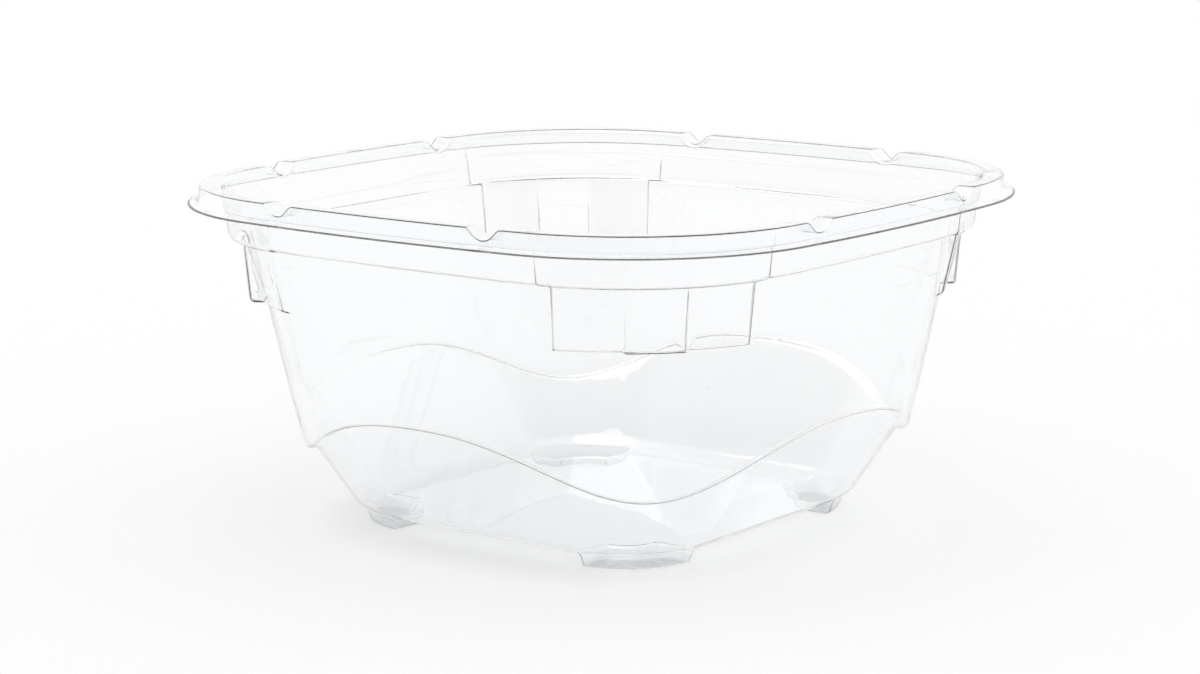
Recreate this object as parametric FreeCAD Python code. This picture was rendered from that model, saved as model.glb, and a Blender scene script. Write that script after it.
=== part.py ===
"""Top seal food bowl: one clear sheet drawn down into a rounded square bowl.

The origin is the middle of the plane the four feet stand on, +Z is up, and the four sides face
+X, +Y, -X and -Y.  All sizes are millimetres.

Every level of the bowl is a rounded square, stated by two numbers: the half width at the middle
of a side and the reach along the diagonal.  The rim and the band under it have bowed sides, and
everything below has flat ones.  The bowl is built twice by the same functions, once for the
outside of the sheet and once for the inside, and the second is cut from the first.
"""
import FreeCAD
import Part
import math
import os

os.makedirs("parts", exist_ok=True)
V = FreeCAD.Vector
SQ2 = math.sqrt(2.0)

# ---------------------------------------------------------------- driving dimensions
SHEET = 0.4             # thickness of the formed sheet

HEIGHT = 74.0           # feet to sealing land
RIM = (75.0, 86.7)      # outer edge of the land: half width, reach
RIM_BOW = 5.0           # turn of a bowed side from its middle to the corner arc, degrees
LAND_WIDTH = 4.9        # flat ring the film is sealed to
BEAD_DEPTH = 4.2        # land down to the edge of the lip
BEAD_DRAFT = 0.15       # lean of the bead's outer wall
BEAD_ROUND = 1.0        # round between land and bead wall
LIP_WIDTH = 2.45        # lip outside the bead
LIP_DROP = 0.5          # fall of the lip across its width
LAND_EDGE = 0.6         # bevel between land and bowl

SHOULDER_Z = 62.0       # the shoulder under the band
SHOULDER_EDGE = 0.5     # bevel round the shoulder
SIDE_LEAN = 2.6         # how far the band leans in along the sides
CORNER_LEAN = 1.4       # and how far in the four corner zones
CORNER_ZONE = 35.0      # a corner zone starts this far from the middle of a side

WALL_TOP = (66.2, 76.2)     # wall at the shoulder: half width, reach
WALL_FOOT = (61.3, 65.4)    # and at WALL_FOOT_Z
WALL_FOOT_Z = 15.0

WAVE_CORNER = 16.6      # the wave line, height at the corners
WAVE_RISE = 12.0        # its rise to the middle of each side
WAVE_FULL = 2.2         # extra fullness between the two
WAVE_POINTS = 32        # points of the curve round the bowl
WAVE_SPAN = (12.0, 100.0)   # radii between which the ring above the wave line is drawn
CORE = 30.0             # radius of the filled middle inside that ring

SHELF = (44.4, 54.4)    # where the lower wall turns under: half width, reach
SHELF_Z = 4.4
LOWER_SLOPE = 0.676     # lower wall, growth per millimetre of height
LOWER_TOP_Z = 34.0
FLOOR_IN = 3.0          # from the shelf in to the flat floor
FLOOR_Z = 2.4

LUG_Z = 49.2            # lower edge of the corner lugs
LUG = (19.0, 1.1, 0.35)     # half length, stand-out at the lower edge, and under the shoulder
KEY = (6.2, 3.3, 1.8)       # the same for the key in the middle of a lug

FOOT_OUTER = 16.4       # radii of a foot where it stands, about the centre of the corner
FOOT_INNER = 8.6
FOOT_SPREAD = 43.0      # half the angle a foot spans, degrees
FOOT_DRAFT = 2.6        # how much wider a foot is at its top
FOOT_UNDER = 0.3        # its top, down from the shelf

NOTCH_AT = 27.0         # channels across the land: middle, from the middle of a side
NOTCH_TOP = 7.9         # width at the land
NOTCH_BOTTOM = 4.0      # width at the bottom, where the side planes would meet it
NOTCH_DEPTH = 2.0       # depth of the channel's floor under the land
NOTCH_ROUND = 1.5       # round between floor and sides

PAST = 1.0              # how far a piece runs on into what it joins, or a cutter past what it cuts
CONE_PAST = 20.0        # the same for a corner cone, whose ends are tilted
WIDE = 200.0            # wider than the bowl, for boxes that cut it


# ---------------------------------------------------------------- outlines and forms
def corner_centre(half, reach, bow):
    """Distance c of a corner arc's centre (c, c) from the axes.

    The corner arc has radius reach - c sqrt(2).  It meets the side tangent in the direction bow,
    and a side arc that turns by bow stands tan(bow / 2) of its half length proud of its ends.
    """
    return (reach - half) / (SQ2 - 1.0 - math.tan(bow / 2.0))


def rounded_square(half, reach, z, grow=0.0, bow_degrees=0.0):
    """Closed wire of four sides and four tangent corner arcs at height z, grown by grow."""
    bow = math.radians(bow_degrees)
    c = corner_centre(half, reach, bow)
    rc = reach - c * SQ2 + grow
    edges = []
    for k in range(4):
        turn = k * math.pi / 2.0

        def at(x, y):
            return V(x * math.cos(turn) - y * math.sin(turn), x * math.sin(turn) + y * math.cos(turn), z)

        def arc_point(angle):
            return at(c + rc * math.cos(angle), c + rc * math.sin(angle))

        x_end = c + rc * math.cos(bow)
        y_end = c + rc * math.sin(bow)
        if bow > 0.0:
            edges.append(Part.Arc(at(x_end, -y_end), at(half + grow, 0.0), at(x_end, y_end)).toShape())
        else:
            edges.append(Part.LineSegment(at(x_end, -y_end), at(x_end, y_end)).toShape())
        corner = [arc_point(bow), arc_point(math.pi / 4.0), arc_point(math.pi / 2.0 - bow)]
        edges.append(Part.Arc(*corner).toShape())
    return Part.Wire(edges)


def form(levels, bow_degrees=0.0):
    """Solid with straight walls through a list of (half, reach, z, grow) levels."""
    loft = Part.makeLoft([rounded_square(*level, bow_degrees) for level in levels], True, True)
    faces = []
    for face in loft.Faces:
        if face.findPlane() and len(face.Edges) == 4:
            corners = [vertex.Point for vertex in face.OuterWire.OrderedVertexes]
            face = Part.Face(Part.makePolygon(corners + corners[:1]))
        faces.append(face)
    shell = Part.makeShell(faces)
    shell.sewShape()
    return Part.makeSolid(shell)


def leaning_form(low, high):
    """Solid between two (half, reach, z) levels whose sides and corners lean by different amounts.

    Each side is a flat plane.  Each corner is a cone whose point is where the two planes beside it
    and the corner's own outline run together, and which touches both planes.
    """
    rise = high[2] - low[2]
    side_lean = (high[0] - low[0]) / rise
    corner_lean = (high[1] - low[1]) / rise
    gap_low = low[0] * SQ2 - low[1]
    gap_high = high[0] * SQ2 - high[1]
    apex_z = low[2] + rise * gap_low / (gap_low - gap_high)
    apex_half = low[0] + side_lean * (apex_z - low[2])
    apex = V(apex_half, apex_half, apex_z)
    side = V(1.0, 0.0, -side_lean).normalize()
    outline = V(-corner_lean / SQ2, -corner_lean / SQ2, -1.0).normalize()
    inward = V(-1.0 / SQ2, -1.0 / SQ2, corner_lean).normalize()
    spread = math.atan2(-side.dot(outline), 1.0 + side.dot(inward))
    axis = outline * math.cos(spread) + inward * math.sin(spread)
    touch = (axis + side * math.sin(spread)).normalize()
    around_axis = [direction - axis * math.cos(spread) for direction in (touch, outline)]
    turn = -2.0 * math.degrees(around_axis[0].getAngle(around_axis[1]))

    def touch_point(z):
        return apex + touch * ((z - apex_z) / touch.z)

    line = Part.makeLine(touch_point(low[2] - CONE_PAST), touch_point(high[2] + CONE_PAST))
    slab = Part.makeBox(2.0 * WIDE, 2.0 * WIDE, rise, V(-WIDE, -WIDE, low[2]))
    faces = around(line.revolve(apex, axis, turn).common(slab).Faces[0])
    a = touch_point(low[2])
    b = touch_point(high[2])
    corners = [V(a.x, -a.y, a.z), a, b, V(b.x, -b.y, b.z)]
    faces += around(Part.Face(Part.makePolygon(corners + corners[:1])))
    for level in (low, high):
        edges = [edge for face in faces for edge in face.Edges
                 if max(abs(vertex.Z - level[2]) for vertex in edge.Vertexes) < 1e-6]
        faces.append(Part.Face(Part.Wire(Part.__sortEdges__(edges))))
    shell = Part.makeShell(faces)
    shell.sewShape()
    return Part.makeSolid(shell)


def around(shape):
    """The shape at all four sides or corners."""
    return [shape.rotated(V(0, 0, 0), V(0, 0, 1), 90.0 * k) for k in range(4)]


def wall_level(z, grow):
    """The wall's (half, reach, z) at height z, grown by grow."""
    f = (z - WALL_FOOT_Z) / (SHOULDER_Z - WALL_FOOT_Z)
    half, reach = (low + (high - low) * f + grow for low, high in zip(WALL_FOOT, WALL_TOP))
    return (half, reach, z)


# ---------------------------------------------------------------- the wave line
def wave(turn):
    """Height of the wave line in the direction turn (radians)."""
    rise = WAVE_RISE * (1.0 + math.cos(4.0 * turn)) / 2.0
    full = WAVE_FULL * (1.0 - math.cos(8.0 * turn)) / 2.0
    return WAVE_CORNER + rise + full


def above_wave(lift):
    """Everything above the wave line, raised by lift, as one solid ring."""
    turns = [2.0 * math.pi * k / WAVE_POINTS for k in range(WAVE_POINTS)]
    lines = []
    for radius in WAVE_SPAN:
        line = Part.BSplineCurve()
        points = [V(radius * math.cos(a), radius * math.sin(a), wave(a) + lift) for a in turns]
        line.interpolate(Points=points, PeriodicFlag=True)
        lines.append(line.toShape())
    return Part.makeRuledSurface(lines[0], lines[1]).extrude(V(0, 0, SHOULDER_Z))


# ---------------------------------------------------------------- pieces of the bowl, moved in by t
def band(t):
    """The band between land and shoulder, which leans in less in the four corner zones."""
    land = tuple(size - LAND_WIDTH + SHEET for size in RIM)
    low = SHOULDER_Z + t
    high = HEIGHT - SHEET + t
    over = HEIGHT - SHEET / 2.0 if t == 0.0 else HEIGHT + PAST

    def leaning(lean):
        def grow(z):
            return -t - lean * (HEIGHT - z) / (HEIGHT - SHOULDER_Z)

        return form([land + (low, grow(low) - SHOULDER_EDGE),
                     land + (low + SHOULDER_EDGE, grow(low + SHOULDER_EDGE)),
                     land + (high - LAND_EDGE, grow(high - LAND_EDGE)),
                     land + (over, LAND_EDGE - t + over - high)], RIM_BOW)

    zone = Part.makeBox(WIDE, WIDE, WIDE, V(CORNER_ZONE + t, CORNER_ZONE + t, 0.0))
    zones = around(zone)
    return [leaning(SIDE_LEAN), leaning(CORNER_LEAN).common(zones[0].fuse(zones[1:]))]


def walls(t):
    """The wall down to the wave line, and the lower form inside it down to the floor."""
    above = above_wave(t)
    wall = leaning_form(wall_level(WALL_FOOT_Z, -t), wall_level(SHOULDER_Z + PAST, -t))
    side_t = t * math.sqrt(1.0 + LOWER_SLOPE ** 2)
    rise = LOWER_TOP_Z - SHELF_Z
    lower = form([SHELF + (FLOOR_Z + t, -FLOOR_IN - side_t), SHELF + (SHELF_Z, -side_t),
                  SHELF + (LOWER_TOP_Z, LOWER_SLOPE * rise - side_t)])
    core = Part.makeCylinder(CORE, SHOULDER_Z, V(0, 0, FLOOR_Z + t + PAST))
    return [wall.common(above), lower.cut(above), core]


def lug(half_length, stand, top_stand, t):
    """One corner's wall pushed out between its lower edge and the shoulder."""
    pushed = leaning_form(wall_level(LUG_Z + t, stand - t), wall_level(SHOULDER_Z + PAST, top_stand - t))
    length = 2.0 * (half_length - t)
    block = Part.makeBox(WIDE, length, WIDE, V(0.0, -length / 2.0, 0.0))
    return pushed.common(block.rotated(V(0, 0, 0), V(0, 0, 1), 45.0))


def foot(t):
    """One corner foot: a sector of a ring, with every side sloping."""
    c = corner_centre(*SHELF, 0.0)
    high = SHELF_Z - FOOT_UNDER
    wide = FOOT_DRAFT * (high - t) / high
    base = V(c, c, t)
    ring = Part.makeCone(FOOT_OUTER - t, FOOT_OUTER + wide - t, high - t, base)
    ring = ring.cut(Part.makeCone(FOOT_INNER + t, FOOT_INNER + t - wide, high - t, base))
    spread = math.radians(FOOT_SPREAD)
    wires = []
    for z, grow in ((t, -t), (high, wide / 2.0 - t)):
        back = c - grow / math.sin(spread) / SQ2
        corners = [V(back, back, z)]
        for angle in (math.pi / 4.0 - spread, math.pi / 4.0 + spread):
            corners.append(corners[0] + V(math.cos(angle), math.sin(angle), 0.0) * 2.0 * FOOT_OUTER)
        wires.append(Part.makePolygon(corners + corners[:1]))
    return ring.common(Part.makeLoft(wires, True, True))


def body(t):
    """The filled bowl with its skin moved in by t: 0 outside, SHEET inside."""
    pieces = band(t) + walls(t)
    for shape in (lug(*LUG, t), lug(*KEY, t), foot(t)):
        pieces += around(shape)
    return pieces[0].fuse(pieces[1:])


# ---------------------------------------------------------------- rim and the channels across it
def notch_profile(t):
    """Cross section of a channel, t larger all round, as a face square to X at x = 0.

    Floor and sides are joined by an arc tangent to both, whose centre is the same for every t.
    """
    lean = math.atan2(2.0 * NOTCH_DEPTH, NOTCH_TOP - NOTCH_BOTTOM)
    centre_y = NOTCH_BOTTOM / 2.0 - NOTCH_ROUND * math.tan(lean / 2.0)
    centre_z = HEIGHT - NOTCH_DEPTH + NOTCH_ROUND
    radius = NOTCH_ROUND + t

    def on_arc(angle, side):
        return V(0.0, side * (centre_y + radius * math.sin(angle)), centre_z - radius * math.cos(angle))

    def top(side):
        below = on_arc(lean, side)
        rise = HEIGHT + PAST - below.z
        return below + V(0.0, side * rise / math.tan(lean), rise)

    edges = [Part.makeLine(on_arc(0.0, -1), on_arc(0.0, 1)), Part.makeLine(top(1), top(-1))]
    for side in (-1, 1):
        arc = [on_arc(angle, side) for angle in (0.0, lean / 2.0, lean)]
        edges.append(Part.Arc(*arc).toShape())
        edges.append(Part.makeLine(arc[-1], top(side)))
    return Part.Face(Part.Wire(Part.__sortEdges__(edges)))


def notches(t):
    """The eight channel cutters, t larger all round for the underside of the sheet."""
    inner = LAND_WIDTH + SIDE_LEAN + PAST
    cutter = notch_profile(t).extrude(V(inner + PAST, 0, 0)).translated(V(-inner, 0, 0))
    bow = math.radians(RIM_BOW)
    c = corner_centre(*RIM, bow)
    side_radius = c / math.sin(bow) + RIM[1] - c * SQ2
    cutters = []
    for y in (-NOTCH_AT, NOTCH_AT):
        turned = cutter.rotated(V(0, 0, 0), V(0, 0, 1), math.degrees(math.asin(y / side_radius)))
        x = RIM[0] - side_radius + math.sqrt(side_radius ** 2 - y ** 2)
        cutters += around(turned.translated(V(x, y, 0)))
    return cutters


def rounded_top(top_z, radius, grow):
    """Levels of a bead's top edge, rounded in two steps."""
    levels = []
    for angle in (0.0, math.pi / 4.0, math.pi / 2.0):
        level_in = radius * (1.0 - math.cos(angle))
        level_z = top_z - radius * (1.0 - math.sin(angle))
        levels.append(RIM + (level_z, grow - level_in))
    return levels


def rim():
    """Land, bead wall and lip: the filled rim less the open channel under it."""
    lip_z = HEIGHT - BEAD_DEPTH
    slope = LIP_DROP / (LIP_WIDTH + SHEET)
    solid = form([RIM + (lip_z, LIP_WIDTH), RIM + (lip_z + SHEET, LIP_WIDTH),
                  RIM + (lip_z + SHEET + LIP_DROP, BEAD_DRAFT)]
                 + rounded_top(HEIGHT, BEAD_ROUND, 0.0), RIM_BOW)
    channel = form([RIM + (lip_z - PAST * slope, LIP_WIDTH + PAST),
                    RIM + (lip_z + LIP_DROP, BEAD_DRAFT - SHEET)]
                   + rounded_top(HEIGHT - SHEET, BEAD_ROUND - SHEET, -SHEET), RIM_BOW)
    return solid.cut(channel.cut(notches(SHEET)))


bowl = rim().fuse(body(0.0)).cut(body(SHEET)).cut(notches(0.0)).removeSplitter()
print("solids", len(bowl.Solids), "valid", bowl.isValid(), "faces", len(bowl.Faces))
print("volume", round(bowl.Volume, 1), "cubic mm")
bowl.Solids[0].exportStep("parts/bowl.step")
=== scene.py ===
# %% [markdown]
# # A clear food bowl for a sealed film
# The bowl is one piece of clear plastic sheet, warmed and drawn down into a mould.  All that shows is
# that one sheet: the flat land the film is sealed to, the turned-down rim, the steps that let the
# bowls nest and come apart again, the wavy ledge low on the wall and the four feet.
#
# The construction model gives the size and the solid.  Here the same sheet is worked out again as a
# fine surface with soft bends, because a clear, glossy thing shows every facet of a coarse one.

# %% Load the frame
import math

import bpy
import numpy as np
from mathutils import Matrix, Vector


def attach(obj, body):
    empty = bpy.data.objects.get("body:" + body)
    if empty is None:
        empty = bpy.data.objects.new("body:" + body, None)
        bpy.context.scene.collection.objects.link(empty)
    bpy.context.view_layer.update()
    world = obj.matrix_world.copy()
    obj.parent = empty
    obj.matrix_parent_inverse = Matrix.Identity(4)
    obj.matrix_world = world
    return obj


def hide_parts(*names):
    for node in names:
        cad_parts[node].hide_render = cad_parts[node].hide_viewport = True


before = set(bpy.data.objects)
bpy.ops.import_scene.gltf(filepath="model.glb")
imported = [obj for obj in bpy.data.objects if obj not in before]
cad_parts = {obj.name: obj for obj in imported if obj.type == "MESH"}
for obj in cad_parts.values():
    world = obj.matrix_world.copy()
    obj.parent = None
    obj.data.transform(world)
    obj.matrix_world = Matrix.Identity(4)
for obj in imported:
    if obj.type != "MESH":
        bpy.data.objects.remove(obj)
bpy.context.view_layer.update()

# %% [markdown]
# ## Sizes
# The sizes follow the construction model, in millimetres.  A few are trimmed by half a millimetre
# or so, because this surface has rounder bends than the solid.  The sheet is thinner than the
# solid's, as a sheet is once it has been drawn: the dark lines along its edges and bends are about
# as wide as the sheet is thick.
#
# A pair gives a rounded square by its half width at the middle of a side and its reach along the
# diagonal.

# %% Sizes of the sheet and the rim
SQ2 = math.sqrt(2.0)
SHEET = 0.28
HEIGHT = 74.0
RIM = (75.0, 86.7)
RIM_BOW = math.radians(5.0)
LAND_WIDTH = 4.9
BEAD_DEPTH = 4.2
BEAD_DRAFT = 0.15
LIP_WIDTH = 2.39
LIP_DROP = 0.5

# The cut edge is EDGE_SHARE of the sheet thick, and the sheet thins to it over EDGE_ROW.
EDGE_ROW = 0.1
EDGE_SHARE = 0.75

# %% Sizes of a vent notch, the first two bends at its floor and its mouth
NOTCH_FLOOR_BEND = 1.3
NOTCH_MOUTH_BEND = 0.45
NOTCH_AT = 27.0
NOTCH_TOP = 7.6
NOTCH_BOTTOM = 2.9
NOTCH_DEPTH = 2.35

# %% Sizes of the band, with its small step, and of the wall
STEP_Z = 69.0
STEP_IN = 0.3
SHOULDER_Z = 62.6
SIDE_LEAN = 2.2
CORNER_LEAN = 1.4
WALL_TOP = (66.2, 75.7)
WALL_FOOT = (61.3, 64.9)
WALL_FOOT_Z = 15.0

# The wall is WALL_FULL fuller at FULL_Z, fading to nothing FULL_SPAN above and below it.
WALL_FULL = 0.45
FULL_Z = 38.0
FULL_SPAN = 24.0

# %% Sizes of a lug and its key: half length, then how far it stands out at its underside and its top
LUG = (19.5, 1.1, 1.9)
KEY = (6.2, 3.6, 2.2)
LUG_Z = 49.2
LUG_UNDERSIDE = 0.25

# How far from the axis the ends of a lug and of a key lie, and half the run over which they rise.
LUG_REACH = 72.5
KEY_REACH = 77.5
STEEP = 0.3

# %% Sizes of the wavy ledge, the lower wall and the floor
WAVE_CORNER = 16.8
WAVE_RISE = 12.0
WAVE_FULL = 2.2
SHELF = (44.4, 54.7)
SHELF_Z = 4.4
LOWER_SLOPE = 0.676
FLOOR_IN = 3.0
FLOOR_Z = 2.4
FLOOR_START = -15.5

# %% Sizes of a foot, an arc about the corner's centre
FOOT_OUTER = 16.4
FOOT_INNER = 8.6
FOOT_SPREAD = math.radians(43.0)
FOOT_SLOPE = 2.6 / 4.1

# A foot ends over the run from FOOT_FADE[0] to FOOT_FADE[1] about its end.  Over it the floor's edge
# moves out by FOOT_OUT and up by FOOT_UP, and where there is none a row lies FLOOR_ROW further in.
FOOT_FADE = (-2.6, 1.2)
FOOT_OUT = 1.08
FOOT_UP = 0.72
FLOOR_ROW = 2.5

# %% [markdown]
# ## The rounded square
# Each level of the bowl is four sides and four corner arcs.  On the rim the sides bow outwards a
# little, lower down they are flat.  A rounded square could be drawn as a curve and offset by hand at
# every level.  A formula is surer: growing such an outline moves each point straight out along its
# own normal, so one outline gives a whole family of parallel ones.


# %% Outlines as arrays
def corner_centre(half, reach, bow):
    """Place c of a corner arc's centre (c, c): (reach - half) / (sqrt 2 - 1 - tan(bow / 2))."""
    return (reach - half) / (SQ2 - 1.0 - math.tan(bow / 2.0))


def rim_outline(walk, grow):
    """Points of the rim's outline for walk from 0, mid side, past 1, arc, to 2, diagonal.

    Up to 1 the point is on the side's arc at angle walk * bow about its far centre.  From 1 on it is
    on the corner arc about (c, c), at an angle that runs from bow to 45 degrees.  Both radii are
    larger by grow.
    """
    half, reach = RIM
    c = corner_centre(half, reach, RIM_BOW)
    corner_radius = reach - c * SQ2
    side_radius = corner_radius + c / math.sin(RIM_BOW)
    on_side = walk <= 1.0
    corner_angle = RIM_BOW + (walk - 1.0) * (math.pi / 4.0 - RIM_BOW)
    angle = np.where(on_side, walk * RIM_BOW, corner_angle)
    centre_x = np.where(on_side, half - side_radius, c)
    centre_y = np.where(on_side, 0.0, c)
    radius = np.where(on_side, side_radius, corner_radius) + grow
    return centre_x + radius * np.cos(angle), centre_y + radius * np.sin(angle)


def smooth_step(x, low, high):
    """0 below low, 1 above high, and 3t^2 - 2t^3 between, with t the way from low to high."""
    t = np.clip((x - low) / (high - low), 0.0, 1.0)
    return t * t * (3.0 - 2.0 * t)


rim_c = corner_centre(*RIM, RIM_BOW)
print("corner arc of the rim: radius", round(RIM[1] - rim_c * SQ2, 1), "mm about", round(rim_c, 1))

# %% [markdown]
# ## Where the columns go
# The surface is a grid: columns run from the middle of the floor up the wall and over the rim, rows
# run round the bowl.  Only an eighth of the way round is worked out, from the middle of a side to the
# diagonal, and mirrored.  Evenly spaced columns would need to be very many to catch the small forms,
# so they gather where the form turns sharply: at the notch's slopes, the jog of the band, the ends
# of the lug and its key, and the end of a foot.

# %% Directions along the outlines
fine_walk = np.linspace(0.0, 2.0, 4001)
rim_x, rim_y = rim_outline(fine_walk, 0.0)
fine_run = np.concatenate([[0.0], np.cumsum(np.hypot(np.diff(rim_x), np.diff(rim_y)))])
band_x, band_y = rim_outline(fine_walk, -LAND_WIDTH + SHEET - SIDE_LEAN)
fine_turn = np.arctan2(band_y, band_x)

shelf_c = corner_centre(*SHELF, 0.0)
shelf_radius = SHELF[1] - shelf_c * SQ2


def corner_distance(turn, c, radius):
    """Distance from the axis, in direction turn, to the arc of a radius about (c, c).

    With s = c (cos turn + sin turn) it is s + sqrt(s^2 - 2 c^2 + radius^2).
    """
    along = c * (np.cos(turn) + np.sin(turn))
    return along + np.sqrt(np.maximum(along ** 2 - 2.0 * c ** 2 + radius ** 2, 0.0))


def wave_height(turn):
    """Height of the wavy ledge: lowest at the corners, highest at the middle of a side.

    It is the corner's height + rise (1 + cos 4t) / 2 + full (1 - cos 8t) / 2 in direction t.
    """
    rise = WAVE_RISE * (1.0 + np.cos(4.0 * turn)) / 2.0
    full = WAVE_FULL * (1.0 - np.cos(8.0 * turn)) / 2.0
    return WAVE_CORNER + rise + full


def lower_reach(turn, z):
    """Distance from the axis to the lower wall at height z, a family of parallel rounded squares."""
    grow = LOWER_SLOPE * (z - SHELF_Z)
    half = SHELF[0] + grow
    corner = corner_distance(turn, shelf_c, shelf_radius + grow)
    return np.where(np.tan(turn) * half <= shelf_c, half / np.cos(turn), corner)


def lower_angle(turn):
    """Direction of the lower wall's normal where the ray meets it at the wave, 0 on the flat side."""
    r = lower_reach(turn, wave_height(turn))
    return np.arctan2(np.maximum(r * np.sin(turn) - shelf_c, 0.0), r * np.cos(turn) - shelf_c)


# %% Places of the sharp forms, as a run along the rim from the middle of a side
lug_turn = math.pi / 4.0 - math.asin(LUG[0] / LUG_REACH)
key_turn = math.pi / 4.0 - math.asin(KEY[0] / KEY_REACH)
foot_turn = math.pi / 4.0 - FOOT_SPREAD
edge_run = {
    "notch start": NOTCH_AT - NOTCH_TOP / 2.0,
    "notch floor": NOTCH_AT - NOTCH_BOTTOM / 2.0,
    "notch floor end": NOTCH_AT + NOTCH_BOTTOM / 2.0,
    "notch end": NOTCH_AT + NOTCH_TOP / 2.0,
    "band jog": float(np.interp(1.0, fine_walk, fine_run)),
    "lug end": float(np.interp(lug_turn, fine_turn, fine_run)),
    "key end": float(np.interp(key_turn, fine_turn, fine_run)),
    "foot end": float(np.interp(foot_turn, lower_angle(fine_turn), fine_run)),
}
print({name: round(place, 1) for name, place in edge_run.items()}, "of", round(fine_run[-1], 1), "mm")

# %% [markdown]
# A density of columns is laid along the run: an even share everywhere, plus a narrow heap at each
# sharp place.  Its running total, inverted, spreads a fixed number of columns in that measure.

# %% Spread the columns
COLUMNS = 49
EVEN_SHARE = 0.42
HEAP_SHARE = 1.28
HEAP = dict.fromkeys(edge_run, 0.8) | {"foot end": 1.6, "band jog": 0.4, "lug end": 0.4, "key end": 0.4}
run = np.linspace(0.0, fine_run[-1], 6001)
density = np.full_like(run, EVEN_SHARE)
for name, place in edge_run.items():
    density += HEAP_SHARE / HEAP[name] * np.exp(-((run - place) / HEAP[name]) ** 2)
total = np.concatenate([[0.0], np.cumsum((density[1:] + density[:-1]) / 2.0 * np.diff(run))])
column_run = np.interp(np.linspace(0.0, total[-1], COLUMNS + 1), total, run)
walk = np.interp(column_run, fine_run, fine_walk)
turn = np.interp(column_run, fine_run, fine_turn)
print(COLUMNS, "columns an eighth, finest gap", round(float(np.diff(column_run).min()), 2), "mm")

# %% [markdown]
# ## One column from the floor to the lip
# A column is a chain of key points on the outside of the sheet, joined by straight runs and rounded
# where they meet.  Cutting notches and adding lugs to a plain bowl would leave seams that a clear
# sheet shows, so the forms are part of the column itself.  All columns are worked out at once: every
# key point is an array with one entry a column, and the notch, the jog, the lugs and the feet are
# only numbers that change along the array.


# %% Masks along the run
def soft_least(a, b, width):
    """The smaller of a and b, rounded where they are within width of each other.

    With h the way from b to a, clipped to 0..1, it is a h + b (1 - h) - width h (1 - h).
    """
    h = np.clip(0.5 + 0.5 * (b - a) / width, 0.0, 1.0)
    return a * h + b * (1.0 - h) - width * h * (1.0 - h)


def beyond(name, before, after):
    """0 before the named place and 1 after it, with a smooth way between."""
    return smooth_step(column_run, edge_run[name] + before, edge_run[name] + after)


notch_slope = 2.0 * NOTCH_DEPTH / (NOTCH_TOP - NOTCH_BOTTOM)
notch_side = notch_slope * (NOTCH_TOP / 2.0 - np.abs(column_run - NOTCH_AT))
notch_floor = soft_least(notch_side, NOTCH_DEPTH, NOTCH_FLOOR_BEND)
notch_dip = np.maximum(-soft_least(-notch_floor, 0.0, NOTCH_MOUTH_BEND), 0.0)
jog = beyond("band jog", -STEEP, STEEP)
lug = beyond("lug end", -STEEP, STEEP)
key = beyond("key end", -STEEP, STEEP)
foot = beyond("foot end", *FOOT_FADE)
print("deepest notch", round(float(notch_dip.max()), 2), "mm")


# %% Rows on the rim, the wall and the lower wall
def stack(x, y, z):
    """Joins three arrays, or arrays and numbers, into points of one row."""
    return np.stack(np.broadcast_arrays(x, y, z, column_run)[:3], axis=-1)


def on_rim(grow, z):
    """A row parallel to the rim's outline."""
    x, y = rim_outline(walk, grow)
    return stack(x, y, z)


def on_wall(z, grow=0.0):
    """A row on the wall: its own rounded square at height z, with a slight fullness half way up."""
    f = (z - WALL_FOOT_Z) / (SHOULDER_Z - WALL_FOOT_Z)
    full = WALL_FULL * np.clip(1.0 - ((z - FULL_Z) / FULL_SPAN) ** 2, 0.0, 1.0)
    half = WALL_FOOT[0] + (WALL_TOP[0] - WALL_FOOT[0]) * f
    reach = WALL_FOOT[1] + (WALL_TOP[1] - WALL_FOOT[1]) * f
    c = corner_centre(half, reach, 0.0)
    corner = corner_distance(turn, c, reach - c * SQ2)
    r = np.where(np.tan(turn) * half <= c, half / np.cos(turn), corner) + grow + full
    return stack(r * np.cos(turn), r * np.sin(turn), z)


wave_z = wave_height(turn)
normal_angle = lower_angle(turn)
side_y = np.where(normal_angle > 0.0, shelf_c, lower_reach(turn, wave_z) * np.sin(turn))


def on_lower(z, grow=None):
    """A row on the lower wall or floor, grow out from the shelf's outline along its normals."""
    g = LOWER_SLOPE * (z - SHELF_Z) if grow is None else grow
    radius = shelf_radius + g
    flat = normal_angle <= 0.0
    x = np.where(flat, SHELF[0] + g, shelf_c + radius * np.cos(normal_angle))
    y = np.where(flat, side_y, shelf_c + radius * np.sin(normal_angle))
    return stack(x, y, z)


# %% Numbers that change along the row
lug_stand = LUG[1] * lug + (KEY[1] - LUG[1]) * key
lug_top = LUG[2] * lug + (KEY[2] - LUG[2]) * key
lean_in = SIDE_LEAN + (CORNER_LEAN - SIDE_LEAN) * jog
land_in = -LAND_WIDTH + SHEET
under_land = HEIGHT - SHEET
under_lip = HEIGHT - BEAD_DEPTH
lip_run = LIP_WIDTH - BEAD_DRAFT + SHEET
floor_z = FLOOR_Z * (1.0 - foot)
foot_inner = FOOT_INNER - shelf_radius
foot_outer = FOOT_OUTER - shelf_radius - FLOOR_ROW * (1.0 - foot)


def band_in(z):
    """How far in from the rim's outline the band stands at height z, a straight lean."""
    return land_in - lean_in * (HEIGHT - z) / (HEIGHT - SHOULDER_Z)


def between(share):
    """A row on the wall, a share of the way from the wave up to the lugs."""
    return on_wall(wave_z * (1.0 - share) + LUG_Z * share)


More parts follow.
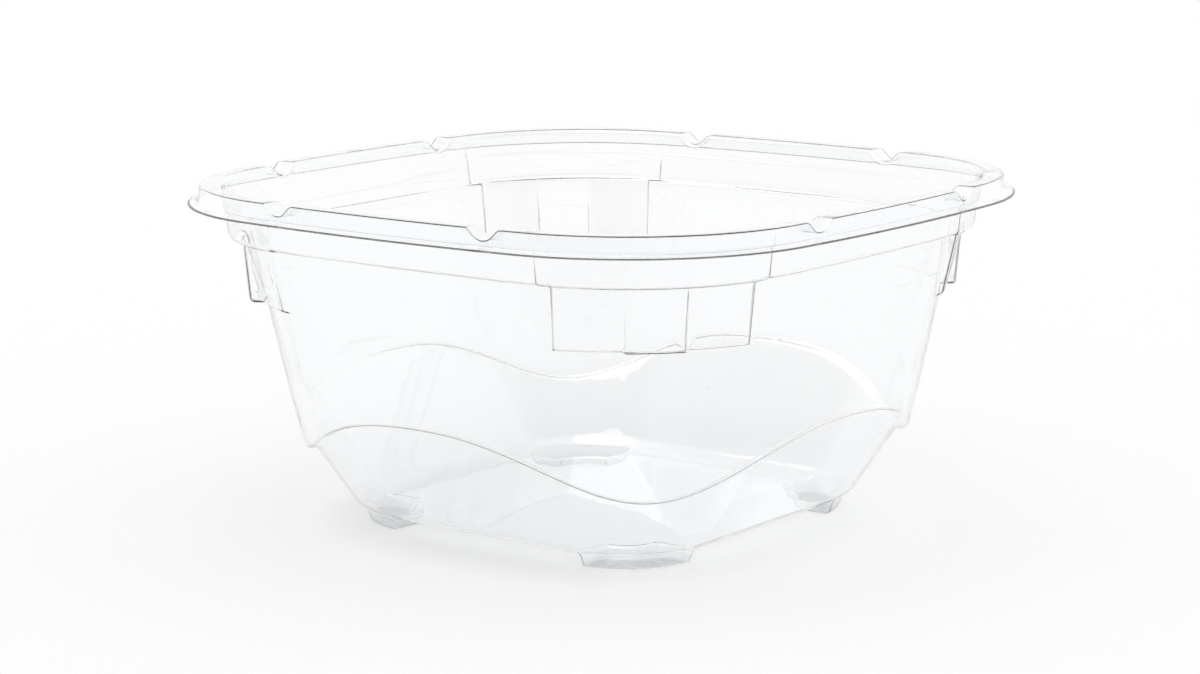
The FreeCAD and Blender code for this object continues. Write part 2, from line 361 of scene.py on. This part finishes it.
# %% Key rows: the points, the reach of the bend there, and how many steps lead up to it
column = [
    (on_lower(FLOOR_Z, FLOOR_START), 0.0, 3),
    (on_lower(FLOOR_Z, foot_inner - FOOT_SLOPE * FLOOR_Z), 0.6, 2),
    (on_lower(floor_z, foot_inner), 0.7, 2),
    (on_lower(floor_z, foot_outer), 0.7, 4),
    (on_lower(FLOOR_Z + FOOT_UP * foot, -FLOOR_IN + FOOT_OUT * foot), 0.9, 2),
    (on_lower(SHELF_Z), 1.0, 2),
    (on_lower(wave_z), 0.6, 8),
    (on_wall(wave_z), 0.8, 1),
    (between(0.34), 0.0, 3),
    (between(0.67), 0.0, 3),
    (on_wall(LUG_Z), 0.35, 3),
    (on_wall(LUG_Z + LUG_UNDERSIDE, lug_stand), 0.5, 1),
    (on_wall(SHOULDER_Z, lug_top), 0.5, 5),
    (on_rim(land_in - lean_in, SHOULDER_Z), 1.1, 1),
    (on_rim(band_in(STEP_Z - STEP_IN) - STEP_IN / 2.0, STEP_Z - STEP_IN), 0.3, 3),
    (on_rim(band_in(STEP_Z) + STEP_IN / 2.0, STEP_Z), 0.3, 1),
    (on_rim(band_in(under_land - notch_dip), under_land - notch_dip), 0.9, 3),
    (on_rim(-SHEET, under_land - notch_dip), 0.15, 6),
    (on_rim(BEAD_DRAFT - SHEET, under_lip + LIP_DROP), 0.8, 4),
    (on_rim(LIP_WIDTH - EDGE_ROW, under_lip + LIP_DROP * EDGE_ROW / lip_run), 0.0, 3),
    (on_rim(LIP_WIDTH, under_lip), 0.0, 2),
]
print(len(column), "key rows")

# %% [markdown]
# ## Rounding the bends
# A bend could be left to a bevel or to subdivision, but both change how the thin sheet lies.  Here it
# takes a curve with four control points: two on the runs, a distance d from the corner, and two
# between them.  The handle that copies a circular arc of turn a is d times
# (4/3) tan(a/4) / tan(a/2).


# %% Fill a column with rows
def bend(before, corner, after, reach, steps):
    """Rows of a rounded corner: a cubic curve that leaves and meets the runs reach from the corner."""
    back = before - corner
    ahead = after - corner
    back_length = np.linalg.norm(back, axis=-1, keepdims=True)
    ahead_length = np.linalg.norm(ahead, axis=-1, keepdims=True)
    back = back / np.maximum(back_length, 1e-9)
    ahead = ahead / np.maximum(ahead_length, 1e-9)
    d = np.minimum(reach, np.minimum(back_length, ahead_length) * 0.49)
    cosine = np.clip(-(back * ahead).sum(-1, keepdims=True), -1.0, 1.0)
    angle = np.maximum(np.arccos(cosine), 1e-4)
    handle = d * (4.0 / 3.0) * np.tan(angle / 4.0) / np.tan(angle / 2.0)
    p0 = corner + back * d
    p3 = corner + ahead * d
    p1 = p0 - back * handle
    p2 = p3 - ahead * handle
    rows = []
    for t in np.linspace(0.0, 1.0, steps + 1):
        u = 1.0 - t
        rows.append(u ** 3 * p0 + 3 * t * u ** 2 * p1 + 3 * t * t * u * p2 + t ** 3 * p3)
    return rows


def fill(column, bend_steps=4):
    """All rows of the column: bends at the rounded key rows and even steps along the runs between."""
    rows = [column[0][0]]
    for i in range(1, len(column)):
        point, reach, steps = column[i]
        if reach > 0.0:
            piece = bend(column[i - 1][0], point, column[i + 1][0], reach, bend_steps)
        else:
            piece = [point]
        start = rows[-1]
        for k in range(1, steps):
            rows.append(start + (piece[0] - start) * k / steps)
        rows += piece
    return np.array(rows)


eighth = fill(column)
print("rows and columns of an eighth:", eighth.shape[:2])


# %% Mirror the eighth all the way round
def all_round(eighth):
    """The closed ring: an eighth, its mirror image in the diagonal, and three turns of both."""
    mirrored = eighth[:, ::-1][:, 1:, [1, 0, 2]]
    quarter = np.concatenate([eighth, mirrored], axis=1)[:, :-1]
    turns = [quarter]
    for _ in range(3):
        x, y, z = np.moveaxis(turns[-1], -1, 0)
        turns.append(np.stack([-y, x, z], axis=-1))
    return np.concatenate(turns, axis=1)


outside = all_round(eighth)
print("rows and columns of the whole grid:", outside.shape[:2])

# %% [markdown]
# ## The sheet's other face
# The inside of the sheet is the outside moved along its own normals by the sheet's thickness.  A
# Solidify modifier would do the same, but it can't thin the lip at its cut edge.  The normals come
# from the cross product of the differences along the rows and along the columns.


# %% Normals and thickness
def grid_normals(grid):
    """Unit normals of a grid closed round its second axis, from central differences both ways."""
    round_way = np.roll(grid, -1, axis=1) - np.roll(grid, 1, axis=1)
    up_way = np.gradient(grid, axis=0)
    normal = np.cross(up_way, round_way)
    return normal / np.maximum(np.linalg.norm(normal, axis=-1, keepdims=True), 1e-12)


normals = grid_normals(outside)
edge_distance = np.hypot(*np.moveaxis(outside[-1] - outside, -1, 0)[:2])
thickness = SHEET * (EDGE_SHARE + (1.0 - EDGE_SHARE) * smooth_step(edge_distance, 0.0, EDGE_ROW))
inside = outside + normals * SHEET
outside = inside - normals * thickness[..., None]
inside_z = inside[..., 2]
print("inside face spans z", round(float(inside_z.min()), 2), "to", round(float(inside_z.max()), 2))


# %% Put the sheet into a mesh
def ring_faces(rows, count, first, flip):
    """Quads between neighbouring rows of a closed grid whose vertices start at first."""
    r, k = np.meshgrid(np.arange(rows - 1), np.arange(count), indexing="ij")
    here = r * count
    after = (k + 1) % count
    quads = np.stack([here + k, here + after, here + count + after, here + count + k], -1)
    quads = quads.reshape(-1, 4) + first
    return quads[:, ::-1] if flip else quads


def sheet_mesh(name, outside, inside):
    """One closed mesh: both faces, a fan at each middle and a strip round the cut edge of the lip.

    The attribute cut_edge is 1 on the last row, where the bowl was cut from the sheet, 0 elsewhere.
    """
    rows, count = outside.shape[:2]
    size = rows * count
    middle = [[0.0, 0.0, outside[0, 0, 2]], [0.0, 0.0, inside[0, 0, 2]]]
    points = np.concatenate([outside.reshape(-1, 3), inside.reshape(-1, 3), middle]) / 1000.0
    edge = np.arange(count)
    after = (edge + 1) % count
    last = (rows - 1) * count
    strip = np.stack([last + edge, last + after, size + last + after, size + last + edge], -1)
    faces = [ring_faces(rows, count, 0, False), ring_faces(rows, count, size, True), strip]
    fan_out = np.stack([np.full(count, 2 * size), after, edge], -1)
    fan_in = np.stack([np.full(count, 2 * size + 1), size + edge, size + after], -1)
    mesh = bpy.data.meshes.new(name)
    mesh.from_pydata(points, [], np.concatenate(faces).tolist() + fan_out.tolist() + fan_in.tolist())
    mesh.validate()
    mesh.shade_smooth()
    mark = np.zeros((2, size))
    mark[:, last:] = 1.0
    cut = mesh.attributes.new("cut_edge", "FLOAT", "POINT")
    cut.data.foreach_set("value", np.append(mark.ravel(), [0.0, 0.0]).astype(np.float32))
    return mesh


bowl_mesh = sheet_mesh("clear_bowl", outside, inside)
bowl = bpy.data.objects.new("clear_bowl", bowl_mesh)
bpy.context.scene.collection.objects.link(bowl)
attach(bowl, "root")
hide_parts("bowl")
print("triangles", sum(len(p.vertices) - 2 for p in bowl_mesh.polygons))

# %% [markdown]
# ## A small language for shader maths
# An expression such as `1 - mask * 0.5` on sockets adds the Math nodes it needs.  Laying each node by
# hand is longer and hides the formula.


# %% Socket arithmetic
class Value:
    """A number socket that can be added, subtracted and multiplied like a number."""

    def __init__(self, graph, socket):
        self.graph = graph
        self.socket = socket

    def _math(self, operation, first, second):
        return self.graph.add("ShaderNodeMath", {"operation": operation}, {0: first, 1: second})

    def __add__(self, other):
        return self._math("ADD", self, other)

    def __radd__(self, other):
        return self._math("ADD", other, self)

    def __sub__(self, other):
        return self._math("SUBTRACT", self, other)

    def __rsub__(self, other):
        return self._math("SUBTRACT", other, self)

    def __mul__(self, other):
        return self._math("MULTIPLY", self, other)

    def __rmul__(self, other):
        return self._math("MULTIPLY", other, self)

    def most(self, other):
        """The larger of two values."""
        return self._math("MAXIMUM", self, other)

    def beside(self, name):
        """Another output of the same node."""
        return Value(self.graph, self.socket.node.outputs[name])

    def ease(self, low, high):
        """0 at low and 1 at high with a smooth way between, for low above high as well."""
        return self.graph.add("ShaderNodeMapRange", {"interpolation_type": "SMOOTHSTEP"},
                              {"Value": self, "From Min": low, "From Max": high})


def fill_ramp(ramp, stops):
    """Sets a ramp's stops from (place, grey) pairs."""
    while len(ramp.elements) < len(stops):
        ramp.elements.new(1.0)
    for element, (place, grey) in zip(ramp.elements, stops):
        element.position = place
        element.color = (grey, grey, grey, 1.0)


class Graph:
    """A material's or world's node tree, cleared, with one method that adds any node."""

    def __init__(self, owner):
        owner.use_nodes = True
        self.tree = owner.node_tree
        self.tree.nodes.clear()

    def add(self, kind, settings=None, inputs=None, output=0):
        """Adds a node, sets its settings, fills its sockets with values or links, gives an output."""
        node = self.tree.nodes.new(kind)
        for name, value in (settings or {}).items():
            if name == "stops":
                fill_ramp(node.color_ramp, value)
            else:
                setattr(node, name, value)
        for name, value in (inputs or {}).items():
            if isinstance(value, Value):
                self.tree.links.new(value.socket, node.inputs[name])
            else:
                node.inputs[name].default_value = value
        return Value(self, node.outputs[output]) if len(node.outputs) else node


# %% [markdown]
# ## Clear sheet
# The sheet is clear polyester: it bends light like glass, has a hard gloss, and along its edges,
# where we look through many millimetres of it, it turns a cool grey.  A perfect surface would look
# like cut crystal.  A drawn sheet has slow thick and thin places, fine lines up its walls where it was
# stretched, tiny scuffs, feet dulled by rubbing and a cut edge that is not polished.
#
# The patterns are noise in the bowl's own space.  A pair says how many patches there are to a metre
# and how high they stand, in metres.

# %% Patterns on the sheet
RIPPLE = (110.0, 22e-6)
STREAK = (700.0, 2.5e-6)
GRAIN = (3300.0, 0.3e-6)
STREAK_STRETCH = (1.0, 1.0, 0.06)
RUB_START, RUB_FULL = 0.0022, 0.0004

clear = bpy.data.materials.new("clear_sheet")
graph = Graph(clear)
place = graph.add("ShaderNodeTexCoord").beside("Object")
height = graph.add("ShaderNodeSeparateXYZ", None, {0: place}).beside("Z")
up_wall = graph.add("ShaderNodeMapping", None, {"Vector": place, "Scale": STREAK_STRETCH})


def cloud(where, scale, detail=2.0):
    """A soft random pattern between 0 and 1, its patches about 1 / scale metres wide."""
    return where.graph.add("ShaderNodeTexNoise", None, {"Vector": where, "Scale": scale, "Detail": detail})


ripples = cloud(place, RIPPLE[0]) * RIPPLE[1]
streaks = cloud(up_wall, STREAK[0]) * STREAK[1]
relief = ripples + streaks + cloud(place, GRAIN[0]) * GRAIN[1]
scuffs = cloud(place, 900.0, 4.0).ease(0.60, 0.74) * cloud(place, 60.0).ease(0.45, 0.65)
rubbed = height.ease(RUB_START, RUB_FULL) * cloud(place, 1500.0, 3.0).ease(0.35, 0.6)
cut = graph.add("ShaderNodeAttribute", {"attribute_name": "cut_edge"}).beside("Fac")
print("nodes for the patterns:", len(graph.tree.nodes))

# %% [markdown]
# The plastic is a glassy surface round a slightly absorbing inside.  At the cut edge a little frosted
# white is mixed in.  Lamps reach the floor through the sheet, because a clear bowl throws a pale
# shadow: for their rays alone the sheet is transparent.

# %% The plastic
GLOSS, SCUFFED, WORN, CUT_DULL = 0.012, 0.035, 0.22, 0.3
FROST = 0.15
roughness = GLOSS + scuffs * SCUFFED + rubbed * WORN + cut * CUT_DULL
tint = graph.add("ShaderNodeMix", {"data_type": "RGBA"}, {
    0: scuffs.most(rubbed), 6: (0.985, 0.99, 0.995, 1.0), 7: (0.93, 0.94, 0.95, 1.0)}, output=2)
surface = graph.add("ShaderNodeBsdfPrincipled", None, {
    "Base Color": tint, "Roughness": roughness, "IOR": 1.57, "Transmission Weight": 1.0,
    "Normal": graph.add("ShaderNodeBump", None, {"Height": relief, "Distance": 1.0})})
frosted = graph.add("ShaderNodeBsdfDiffuse", None, {"Color": (0.9, 0.91, 0.92, 1.0)})
skin = graph.add("ShaderNodeMixShader", None, {0: cut * FROST, 1: surface, 2: frosted})
lamp_ray = graph.add("ShaderNodeLightPath").beside("Is Shadow Ray")
clear_way = graph.add("ShaderNodeBsdfTransparent", None, {"Color": (0.93, 0.935, 0.94, 1.0)})
sheet = graph.add("ShaderNodeMixShader", None, {0: lamp_ray, 1: skin, 2: clear_way})
depth = graph.add("ShaderNodeVolumeAbsorption", None, {"Color": (0.80, 0.84, 0.86, 1.0), "Density": 50.0})
graph.add("ShaderNodeOutputMaterial", None, {"Surface": sheet, "Volume": depth})
bowl_mesh.materials.append(clear)
print("nodes in the plastic:", len(graph.tree.nodes))

# %% [markdown]
# ## Stage and light
# Clear plastic has hardly any colour of its own: it shows the room.  The room is white low down and
# all round the back.  In front it turns grey overhead, with a soft box at the top, so the rounded
# edges pick up thin dark lines.  Only what the camera sees, straight, mirrored or through plastic,
# shows that room: the light on things comes from an even white one.


# %% Which rays see the backdrop
def seen(graph):
    """1 for the camera's own rays, mirrored ones and those through plastic, 0 for light on a surface."""
    direct = graph.add("ShaderNodeLightPath")
    shown = direct.most(direct.beside("Is Glossy Ray")).most(direct.beside("Is Transmission Ray"))
    return shown * (1.0 - direct.beside("Diffuse Depth")).most(0.0)


# %% Floor
FLOOR_REACH = 6.0
floor_mesh = bpy.data.meshes.new("floor")
floor_corners = [(x * FLOOR_REACH, y * FLOOR_REACH, 0.0) for x, y in ((-1, -1), (1, -1), (1, 1), (-1, 1))]
floor_mesh.from_pydata(floor_corners, [], [(0, 1, 2, 3)])
floor = bpy.data.objects.new("floor", floor_mesh)
bpy.context.scene.collection.objects.link(floor)
pale = bpy.data.materials.new("pale_floor")
graph = Graph(pale)
paint = graph.add("ShaderNodeBsdfDiffuse", None, {"Color": (0.9, 0.9, 0.9, 1.0)})
lift = graph.add("ShaderNodeEmission", None, {"Color": (1.0, 1.0, 1.0, 1.0), "Strength": seen(graph) * 0.1})
both = graph.add("ShaderNodeAddShader", None, {0: paint, 1: lift})
graph.add("ShaderNodeOutputMaterial", None, {"Surface": both})
floor_mesh.materials.append(pale)
print("floor", 2 * FLOOR_REACH, "m wide")

# %% World: the room's grey by how steeply we look up, and the side of it that is dark
ROOM = ((0.0, 1.0), (0.1, 0.95), (0.2, 0.8), (0.42, 0.4), (0.62, 0.16), (0.86, 0.16), (0.93, 1.0))
DARK_SIDE = (0.61, -0.79)
DARK_START, DARK_FULL = -0.35, 0.25
PLAIN_LIGHT = 0.75

world = bpy.data.worlds.new("studio")
bpy.context.scene.world = world
graph = Graph(world)
look = graph.add("ShaderNodeSeparateXYZ", None, {0: graph.add("ShaderNodeTexCoord")})
towards = look * DARK_SIDE[0] + look.beside("Y") * DARK_SIDE[1]
room = graph.add("ShaderNodeValToRGB", {"stops": ROOM}, {0: look.beside("Z")})
grey = 1.0 - (1.0 - room) * towards.ease(DARK_START, DARK_FULL)
backdrop = graph.add("ShaderNodeBackground", None, {"Color": grey, "Strength": 1.0})
light = graph.add("ShaderNodeBackground", None, {"Color": (1.0, 1.0, 1.0, 1.0), "Strength": PLAIN_LIGHT})
graph.add("ShaderNodeOutputWorld", None, {
    "Surface": graph.add("ShaderNodeMixShader", None, {0: seen(graph), 1: light, 2: backdrop})})
print("nodes in the world:", len(graph.tree.nodes))

# %% Lamp
top_light = bpy.data.lights.new("top_light", "SUN")
top_light.energy = 0.81
top_light.angle = math.radians(50.0)
lamp = bpy.data.objects.new("top_light", top_light)
lamp.rotation_euler = (math.radians(12.0), math.radians(-10.0), 0.0)
bpy.context.scene.collection.objects.link(lamp)

# %% [markdown]
# ## Camera
# The camera stands a little above the rim and looks at one corner.  Its turn and height are worked
# out from the directions, and a slight roll levels the base.

# %% Directions of the camera
AZIMUTH, ELEVATION = math.radians(37.558), math.radians(10.799)
PAN, TILT, ROLL = math.radians(-0.094), math.radians(0.154), math.radians(-0.27)
DISTANCE = 0.6917
TARGET = Vector((0.0, 0.0, 0.03674))
level = Vector((math.sin(AZIMUTH), -math.cos(AZIMUTH), 0.0))
back = level * math.cos(ELEVATION) + Vector((0.0, 0.0, math.sin(ELEVATION)))
right = Vector((math.cos(AZIMUTH), math.sin(AZIMUTH), 0.0))
up = back.cross(right)
ahead = -back * math.cos(PAN) * math.cos(TILT) + right * math.sin(PAN) * math.cos(TILT)
forward = (ahead + up * math.sin(TILT)).normalized()
side = forward.cross(up).normalized()
top = side.cross(forward)
rolled_side = side * math.cos(ROLL) + top * math.sin(ROLL)
rolled_top = rolled_side.cross(forward)

# %% Camera
camera_data = bpy.data.cameras.new("camera")
camera_data.lens = 95.5
camera_data.sensor_width = 36.0
camera_data.clip_start = 0.01
camera_data.clip_end = 50.0
camera = bpy.data.objects.new("camera", camera_data)
turned = Matrix((rolled_side, rolled_top, -forward)).transposed().to_4x4()
turned.translation = TARGET + back * DISTANCE
camera.matrix_world = turned
bpy.context.scene.collection.objects.link(camera)
bpy.context.scene.camera = camera
bpy.context.scene.view_settings.view_transform = "Standard"
print("camera at", [round(v, 3) for v in turned.translation])
